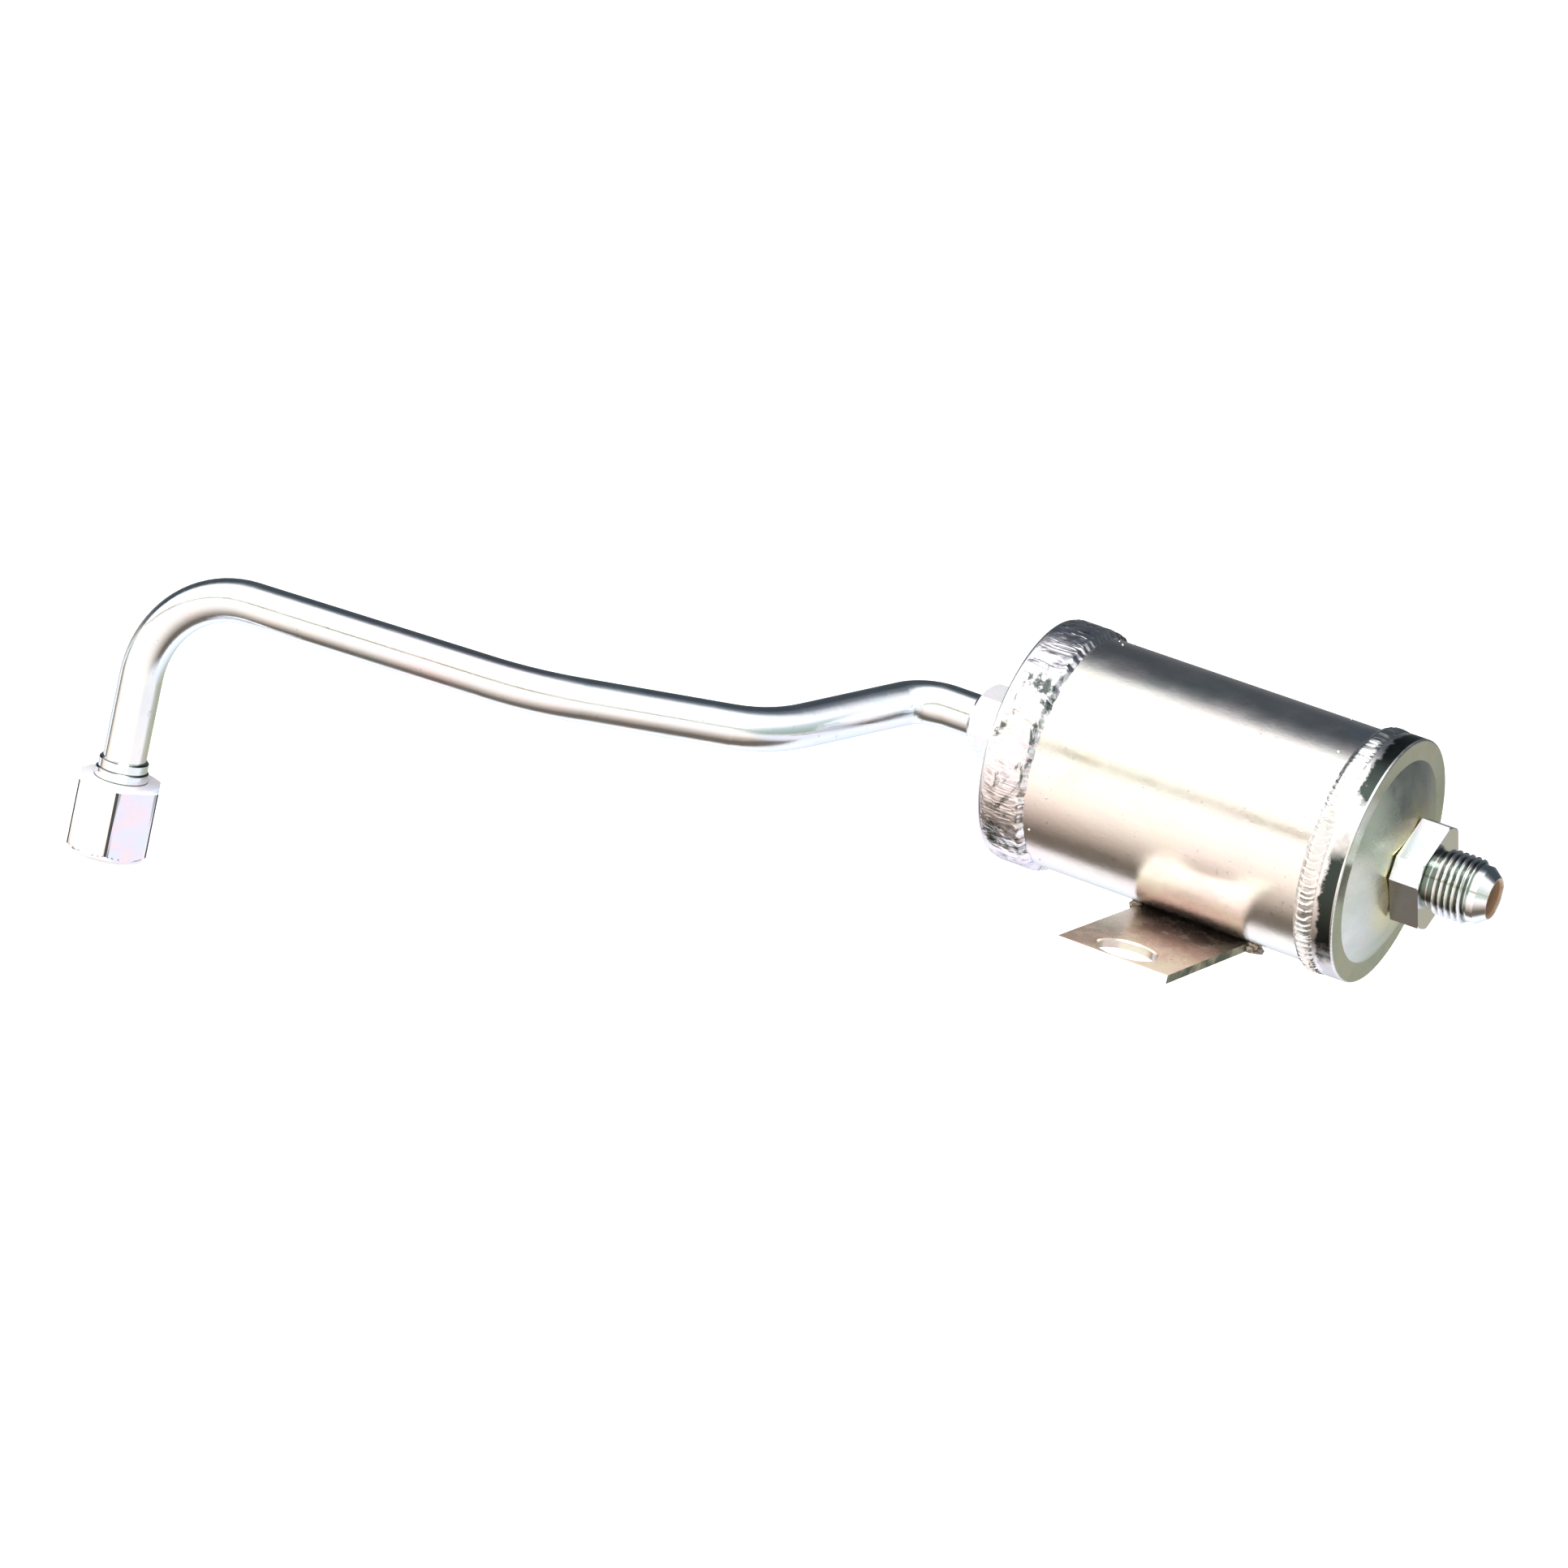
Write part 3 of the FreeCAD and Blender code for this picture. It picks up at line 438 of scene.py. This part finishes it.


# painted highlight on the outlet cap's side
skirt_highlight(cap_finish, outlet_bead_high.x + 4.6 * MM, (0.96, 0.91, 0.93))
scorch_near_rim(cap_finish, outlet_bead_high.x + 1.0 * MM, outlet_bead_high.x + 4.2 * MM,
                (0.02, 0.035, 0.028), 0.97,
                [(0.03, 0.3), (0.08, 1.0), (0.60, 1.0), (0.74, 0.08), (0.90, 0.05), (0.95, 1.0)])
heat_tint(cap_finish, 10.5 * MM, 17.5 * MM, (0.96, 0.84, 0.48))
# painted light: the nut's flats away from its +X side painted whiter
lit_side_paint(nut_finish, NUT_X + 5.2 * MM)
dark_corner_line(nut_finish, 9.88 * MM, (0.03, 0.035, 0.03))
matt_end(nut_finish, nut_high.z - 0.9 * MM, nut_high.z - 0.7 * MM)
# painted shade lines at the sleeve's two steps, and a painted contact shadow where the sleeve meets the
# nut
shade_rings(sleeve_finish, "Z", [nut_high.z + height * MM for height in (0.1, 2.2, 4.3)], 0.22 * MM,
           (0.12, 0.15, 0.12))
patches(inlet_weld_finish, 75, 0.54, 0.62, (0.05, 0.075, 0.055), 0.9)
patches(weld_finish, 95, 0.60, 0.68, (0.10, 0.11, 0.09), 0.7)
# grime and painted shade in the connector thread's roots
thread_root_grime_and_shade(connector_finish, 6.25 * MM, 6.90 * MM, connector_tip - 12.9 * MM, connector_tip - 3.7 * MM,
            (0.17, 0.21, 0.17))
# painted highlight on the plate's front edge, painted shade on its edge towards the outlet
plate_edge_highlight_and_shade(plate_finish, "mounting_plate", (0.10, 0.12, 0.10))
brown_bore(connector_finish, 4.1 * MM, (0.30, 0.19, 0.12))


def finish(node, shader):
    """Give a CAD node one finish, in whichever material slots it has."""
    thing = NODES[node]
    if thing.material_slots:
        for place in thing.material_slots:
            place.material = shader.material
    else:
        thing.data.materials.append(shader.material)


for node, shader in {
        "canister_shell": shell_finish, "outlet_end_cap": cap_finish,
        "inlet_end_cap": inlet_cap_finish, "outlet_seam_weld": weld_finish,
        "inlet_seam_weld": weld_finish, "outlet_connector": connector_finish,
        "outlet_connector_braze": braze_finish, "inlet_coupling": coupling_finish,
        "inlet_coupling_braze": braze_finish, "inlet_tube_weld": weld_finish,
        "inlet_tube": tube_finish, "flare_sleeve": sleeve_finish, "flare_nut": nut_finish,
        "mounting_plate": plate_finish, "plate_tack_welds": tack_finish,
        "pleated_paper": paper_finish, "core_tube": tin_finish,
        "element_outlet_cap": tin_finish, "element_inlet_cap": tin_finish,
        "element_seal": rubber_finish, "element_spring": spring_finish}.items():
    finish(node, shader)


# ---------------------------------------------------------------- pieces

def wobble(angle, scale, seed):
    return noise.noise(Vector((math.cos(angle) * scale, math.sin(angle) * scale, seed)))


def seam_bead(name, node, ripples, roughness, seed, spread=0.0):
    """A weld run round the can, laid down as overlapping arc-shaped ripples.

    It may spread past its node towards the inlet rim, thinning as it goes."""
    low, high = (Vector(c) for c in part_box(node))
    low.x -= spread
    start, width = low.x, high.x - low.x
    crown = (high.z - low.z) / 2
    foot = crown - (0.28 if spread else 0.75) * MM
    across = 34 if spread else 18
    skin = (shell_high.z - shell_low.z) / 2 + 0.02 * MM
    shell_end, rim_end = (high.x, start) if spread else (start, high.x)
    tuck = {shell_end: skin - 0.3 * MM, rim_end: foot - 0.3 * MM}
    rings = [(start, steady(tuck[start]))]
    for k in range(across + 1):
        t = k / across
        swell = max(0.0, 1 - (2 * t - 1) ** 2) ** 0.5

        def radius(angle, t=t, swell=swell):
            drift = roughness * wobble(angle, 9, seed) + 0.5 * roughness * wobble(angle, 31, seed + t)
            phase = (angle * ripples / (2 * math.pi) + 0.9 * (2 * t - 1) ** 2 + drift) % 1.0
            scale = (1 - phase) ** 0.8
            lump = 0.14 * roughness * noise.noise(Vector((math.cos(angle) * 9, math.sin(angle) * 9,
                                                          t * 5 + seed)))
            run = min(1.0, (1 - t if spread else t) * width / (1.5 * MM))
            toe = (foot - skin) * (1 - run * run * (3 - 2 * run))
            return min(crown, foot - toe + (crown - foot) * swell * (0.55 + 0.45 * scale) + lump * MM)

        def height(angle, t=t):
            edge = 0.35 * MM * roughness * wobble(angle, 16, seed + 5) * (2 * t - 1)
            return min(max(start + width * t + edge, low.x), high.x)
        rings.append((height, radius))
    rings.append((high.x, steady(tuck[high.x])))
    shader = inlet_weld_finish if spread else weld_finish
    piece = ring_grid(name, CAN_FRAME, rings, evenly(1100), shader.material, 50)
    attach(piece, "filter")
    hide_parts(node)
    return piece


seam_bead("outlet_seam_ripples", "outlet_seam_weld", 104, 0.6, 1.7)
seam_bead("inlet_seam_ripples", "inlet_seam_weld", 58, 1.9, 8.3, 3.6 * MM)


def tube_weld():
    """The ragged bead where the line enters its coupling."""
    low, high = (Vector(c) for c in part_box("inlet_tube_weld"))
    outer, root, rings = (high.z - low.z) / 2, 4.70 * MM, []
    for k in range(9):
        t = k / 8

        def radius(angle, t=t):
            fall = root + (outer - root) * (t ** 0.8)
            return min(outer, max(root, fall + 0.35 * MM * (1 - abs(2 * t - 1)) * wobble(angle, 5, 3 + t)))
        rings.append((low.x + (high.x - low.x) * t, radius))
    rings.append((high.x, steady(root - 0.1 * MM)))
    rings.append((low.x, steady(root - 0.1 * MM)))
    piece = ring_grid("tube_joint_bead", CAN_FRAME, rings, evenly(220), weld_finish.material, 50)
    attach(piece, "filter")
    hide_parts("inlet_tube_weld")


tube_weld()


def tack_blobs():
    """Two small spiky lumps of weld that hold the plate to the can."""
    low, high = (Vector(c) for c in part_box("plate_tack_welds"))
    reach = (high.y - low.y) / 2
    points, faces = [], []
    for side, middle_x in ((0, low.x + reach), (1, high.x - reach)):
        def spike(turn, lift, side=side):
            inward = 2.6 * math.cos(lift)
            return 0.80 + 0.38 * noise.noise(Vector((math.cos(turn) * inward, math.sin(turn) * inward,
                                                     lift * 3 + side * 7)))

        add_dome(points, faces, Vector((middle_x, (low.y + high.y) / 2, low.z)),
                 (Vector((1, 0, 0)), Vector((0, 1, 0)), Vector((0, 0, 1))),
                 lambda turn, lift: reach * math.cos(lift) * min(1.0, spike(turn, lift)),
                 lambda turn, lift: (high.z - low.z) * math.sin(lift) * min(1.0, spike(turn, lift) + 0.1),
                 40, 12)
    piece = make_object("tack_blobs", points, faces, tack_finish.material, 40)
    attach(piece, "filter")
    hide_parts("plate_tack_welds")


tack_blobs()


def outlet_fitting():
    """The connector: cut square body, relief, helical thread, 37 degree nose and bore."""
    low, high = (Vector(c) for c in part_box("outlet_connector"))
    start, tip = low.x, high.x
    base, face = tip - 19.4 * MM, tip - 12.8 * MM
    turn = math.radians(34.6)
    sides = [(turn + k * math.pi / 2, 9.525 * MM) for k in range(4)]
    sides += [(turn + (k + 0.5) * math.pi / 2, 10.977 * MM) for k in range(4)]
    bar = prism(sides)
    corners = []
    for k in range(4):
        for lean in (-1, 1):
            corners.append(turn + k * math.pi / 2 + lean * math.atan2(6.0, 9.525))

    def chamfered(depth):
        return lambda angle: min(bar(angle), (10.95 + depth * 1.732) * MM)

    rings = [(start, steady(3.75 * MM)), (start, steady(5.5 * MM)), (start + 0.5 * MM, steady(6.0 * MM)),
             (base, steady(6.0 * MM)), (base, lambda angle: bar(angle) - 0.12 * MM),
             (base + 0.12 * MM, bar)]
    rings += [(face - depth * MM, chamfered(depth)) for depth in (0.45, 0.3, 0.15, 0.0)]
    rings += [(face, steady(6.1 * MM)), (face + 1.1 * MM, steady(6.1 * MM))]
    rings += thread_rings(face + 1.2 * MM, face + 9.0 * MM, 6.25 * MM, 7.144 * MM)
    rings += [(face + 9.1 * MM, steady(6.17 * MM)), (tip - 2.216 * MM, steady(6.17 * MM)),
              (tip - 0.08 * MM, steady(4.56 * MM)), (tip, steady(4.50 * MM)),
              (tip, steady(4.32 * MM)), (tip - 0.57 * MM, steady(3.75 * MM))]
    piece = ring_grid("outlet_fitting", CAN_FRAME, rings, evenly(240, corners),
                      connector_finish.material, 28)
    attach(piece, "filter")
    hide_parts("outlet_connector")


outlet_fitting()


def line_nut():
    """The flare nut: chamfered hexagon on a round foot, with a helical thread inside."""
    foot, top = nut_low.z, nut_high.z
    clock = math.radians(1.0)
    bar = prism([(clock + math.radians(30 + 60 * k), 8.73 * MM) for k in range(6)])
    corners = [clock + math.radians(60 * k) for k in range(6)]

    def cut(depth, rim):
        return lambda angle: min(bar(angle), (rim + depth * 1.732) * MM)

    rings = [(foot, steady(7.5 * MM)), (foot, steady(8.15 * MM)), (foot + 0.15 * MM, steady(8.3 * MM)),
             (foot + 0.7 * MM, steady(8.3 * MM))]
    rings += [(foot + (0.7 + depth) * MM, cut(depth, 8.75)) for depth in (0.02, 0.25, 0.5, 0.8)]
    rings += [(top - depth * MM, cut(depth, 8.75)) for depth in (0.8, 0.5, 0.25, 0.0)]
    rings += [(top, steady(5.92 * MM)), (foot + 13.05 * MM, steady(5.92 * MM)),
              (foot + 13.05 * MM, steady(6.7 * MM)), (foot + 8.9 * MM, steady(6.7 * MM))]
    inside = thread_rings(foot + 0.9 * MM, foot + 8.8 * MM, 7.1 * MM, 6.45 * MM)
    rings += list(reversed(inside))
    piece = ring_grid("line_nut", NUT_FRAME, rings, evenly(180, corners), nut_finish.material, 28)
    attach(piece, "nut")
    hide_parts("flare_nut")


line_nut()


def weld_spatter():
    """A few small lumps of spatter stuck to the shell beside its seams."""
    chance = random.Random(41)
    skin = (shell_high.z - shell_low.z) / 2
    points, faces = [], []
    for _ in range(26):
        near_outlet = chance.random() < 0.5
        x = (outlet_bead_low.x - chance.uniform(1, 9) * MM if near_outlet
             else inlet_bead_high.x + chance.uniform(1, 9) * MM)
        angle = chance.uniform(0, 2 * math.pi)
        size = chance.uniform(0.12, 0.30) * MM
        outward = Vector((0, math.cos(angle), math.sin(angle)))
        beside = Vector((0, math.sin(angle), -math.cos(angle)))
        uneven = [chance.uniform(0.85, 1.15) for _ in range(12)]
        add_dome(points, faces, Vector((x, CAN_Y, CAN_Z)) + outward * skin,
                 (Vector((1, 0, 0)), beside, outward),
                 lambda turn, lift: size * math.cos(lift) * uneven[round(turn * 6 / math.pi) % 12],
                 lambda turn, lift: size * 0.8 * math.sin(lift), 12, 4)
    piece = make_object("weld_spatter", points, faces, weld_finish.material, 60)
    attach(piece, "filter")


weld_spatter()


# ---------------------------------------------------------------- floor, light and camera

scene = bpy.context.scene
floor_height = CAD_BOX[0][2] - 0.0006


def make_floor():
    """A plain white floor that does not show in the metal."""
    size = 4.0
    shader = Shader("floor_white")
    shader.wire(shader.ramp(shader.noise(3, 2), [(0.3, (0.97, 0.97, 0.97)), (0.7, (1.0, 1.0, 1.0))]),
                shader.surface.inputs["Base Color"])
    shader.surface.inputs["Roughness"].default_value = 0.9
    shader.surface.inputs["Emission Color"].default_value = (1, 1, 1, 1)
    shader.surface.inputs["Emission Strength"].default_value = 0.55
    points = [Vector((x * size, y * size, floor_height)) for x, y in ((-1, -1), (1, -1), (1, 1), (-1, 1))]
    floor = make_object("studio_floor", points, [(0, 1, 2, 3)], shader.material)
    floor.visible_glossy = False


make_floor()


# what the metal reflects, by direction round the X axis: 0 is the front, 90 overhead, -90 below
SURROUNDINGS = [
    (-180, (0.12, 0.13, 0.14)), (-163, (0.36, 0.36, 0.28)), (-140, (0.70, 0.76, 0.86)),
    (-122, (0.90, 0.88, 0.94)), (-107, (0.86, 0.84, 0.86)), (-97, (0.14, 0.12, 0.10)),
    (-78, (0.13, 0.11, 0.09)), (-60, (0.44, 0.37, 0.32)), (-38, (0.88, 0.77, 0.70)),
    (-18, (0.99, 0.94, 0.88)), (7, (1.0, 0.98, 0.94)), (9, (0.30, 0.25, 0.16)),
    (13, (0.30, 0.25, 0.16)), (15, (1.0, 0.97, 0.86)), (40, (1.0, 1.0, 1.0)),
    (94, (1.0, 1.0, 1.0)), (108, (0.17, 0.18, 0.20)), (124, (0.045, 0.055, 0.065)),
    (158, (0.05, 0.06, 0.07)), (180, (0.12, 0.13, 0.14))]
# and towards +X, by height: pale lilac just below the level, grey-green above it
PLUS_X_SIDE = [(0.0, (0.74, 0.77, 0.80)), (0.40, (0.80, 0.77, 0.80)), (0.47, (0.30, 0.36, 0.30)),
               (0.62, (0.42, 0.48, 0.44)), (1.0, (0.9, 0.9, 0.9))]


def make_world():
    """Soft white boxes overhead and in front, dark between them and behind."""
    world = bpy.data.worlds.new("studio")
    scene.world = world
    world.use_nodes = True
    tree = world.node_tree
    background = tree.nodes["Background"]

    def node(kind, **settings):
        made = tree.nodes.new(kind)
        for key, value in settings.items():
            setattr(made, key, value)
        return made

    def ramp_of(value, stops):
        made = node("ShaderNodeValToRGB")
        elements = made.color_ramp.elements
        while len(elements) < len(stops):
            elements.new(0.5)
        for element, (position, color) in zip(elements, stops):
            element.position, element.color = position, (*color, 1.0)
        tree.links.new(value, made.inputs["Fac"])
        return made

    split = node("ShaderNodeSeparateXYZ")
    tree.links.new(node("ShaderNodeTexCoord").outputs["Generated"], split.inputs["Vector"])
    front = node("ShaderNodeMath", operation="MULTIPLY")
    front.inputs[1].default_value = -1.0
    tree.links.new(split.outputs["Y"], front.inputs[0])
    angle = node("ShaderNodeMath", operation="ARCTAN2")
    tree.links.new(split.outputs["Z"], angle.inputs[0])
    tree.links.new(front.outputs["Value"], angle.inputs[1])
    place = node("ShaderNodeMapRange")
    place.inputs["From Min"].default_value = -math.pi
    place.inputs["From Max"].default_value = math.pi
    tree.links.new(angle.outputs["Value"], place.inputs["Value"])
    ramp = ramp_of(place.outputs["Result"],
                   [((degrees + 180) / 360, color) for degrees, color in SURROUNDINGS])
    height = node("ShaderNodeMapRange")
    height.inputs["From Min"].default_value = -1.0
    tree.links.new(split.outputs["Z"], height.inputs["Value"])
    side = ramp_of(height.outputs["Result"], PLUS_X_SIDE)
    facing = node("ShaderNodeMapRange", interpolation_type="SMOOTHSTEP")
    facing.inputs["From Min"].default_value, facing.inputs["From Max"].default_value = 0.72, 0.90
    tree.links.new(split.outputs["X"], facing.inputs["Value"])
    both = node("ShaderNodeMix", data_type="RGBA")
    tree.links.new(facing.outputs["Result"], both.inputs["Factor"])
    for socket, color in zip((s for s in both.inputs if s.type == "RGBA"), (ramp, side)):
        tree.links.new(color.outputs["Color"], socket)
    seen = node("ShaderNodeMix", data_type="RGBA")
    tree.links.new(node("ShaderNodeLightPath").outputs["Is Camera Ray"], seen.inputs["Factor"])
    first, second = (s for s in seen.inputs if s.type == "RGBA")
    tree.links.new([s for s in both.outputs if s.type == "RGBA"][0], first)
    second.default_value = (1.0, 1.0, 1.0, 1.0)
    tree.links.new([s for s in seen.outputs if s.type == "RGBA"][0], background.inputs["Color"])
    background.inputs["Strength"].default_value = 1.32


make_world()


def area_light(name, place, aim, size, power):
    light = bpy.data.lights.new(name, "AREA")
    light.shape, light.size, light.energy = "DISK", size, power
    lamp = bpy.data.objects.new(name, light)
    scene.collection.objects.link(lamp)
    lamp.location = place
    lamp.rotation_euler = (Vector(aim) - Vector(place)).to_track_quat("-Z", "Y").to_euler()


area_light("key_light", (0.1, -0.5, 1.2), (0, 0, 0), 0.8, 9)
area_light("fill_light", (-0.9, -0.7, 0.5), (0, 0, 0), 0.6, 3)

camera_data = bpy.data.cameras.new("camera")
camera_data.sensor_width = 36.0
camera_data.lens = 139.75
camera_data.clip_start, camera_data.clip_end = 0.05, 20.0
camera = bpy.data.objects.new("camera", camera_data)
scene.collection.objects.link(camera)
right, upward, back = (Vector((0.86065, 0.45964, 0.21911)), Vector((-0.31193, 0.1358, 0.94035)),
                       Vector((0.40247, -0.87766, 0.26025)))
camera.matrix_world = (Matrix.Translation((0.43074, -1.12193, 0.34288))
                       @ Matrix((right, upward, back)).transposed().to_4x4())
scene.camera = camera
scene.view_settings.view_transform = "Standard"
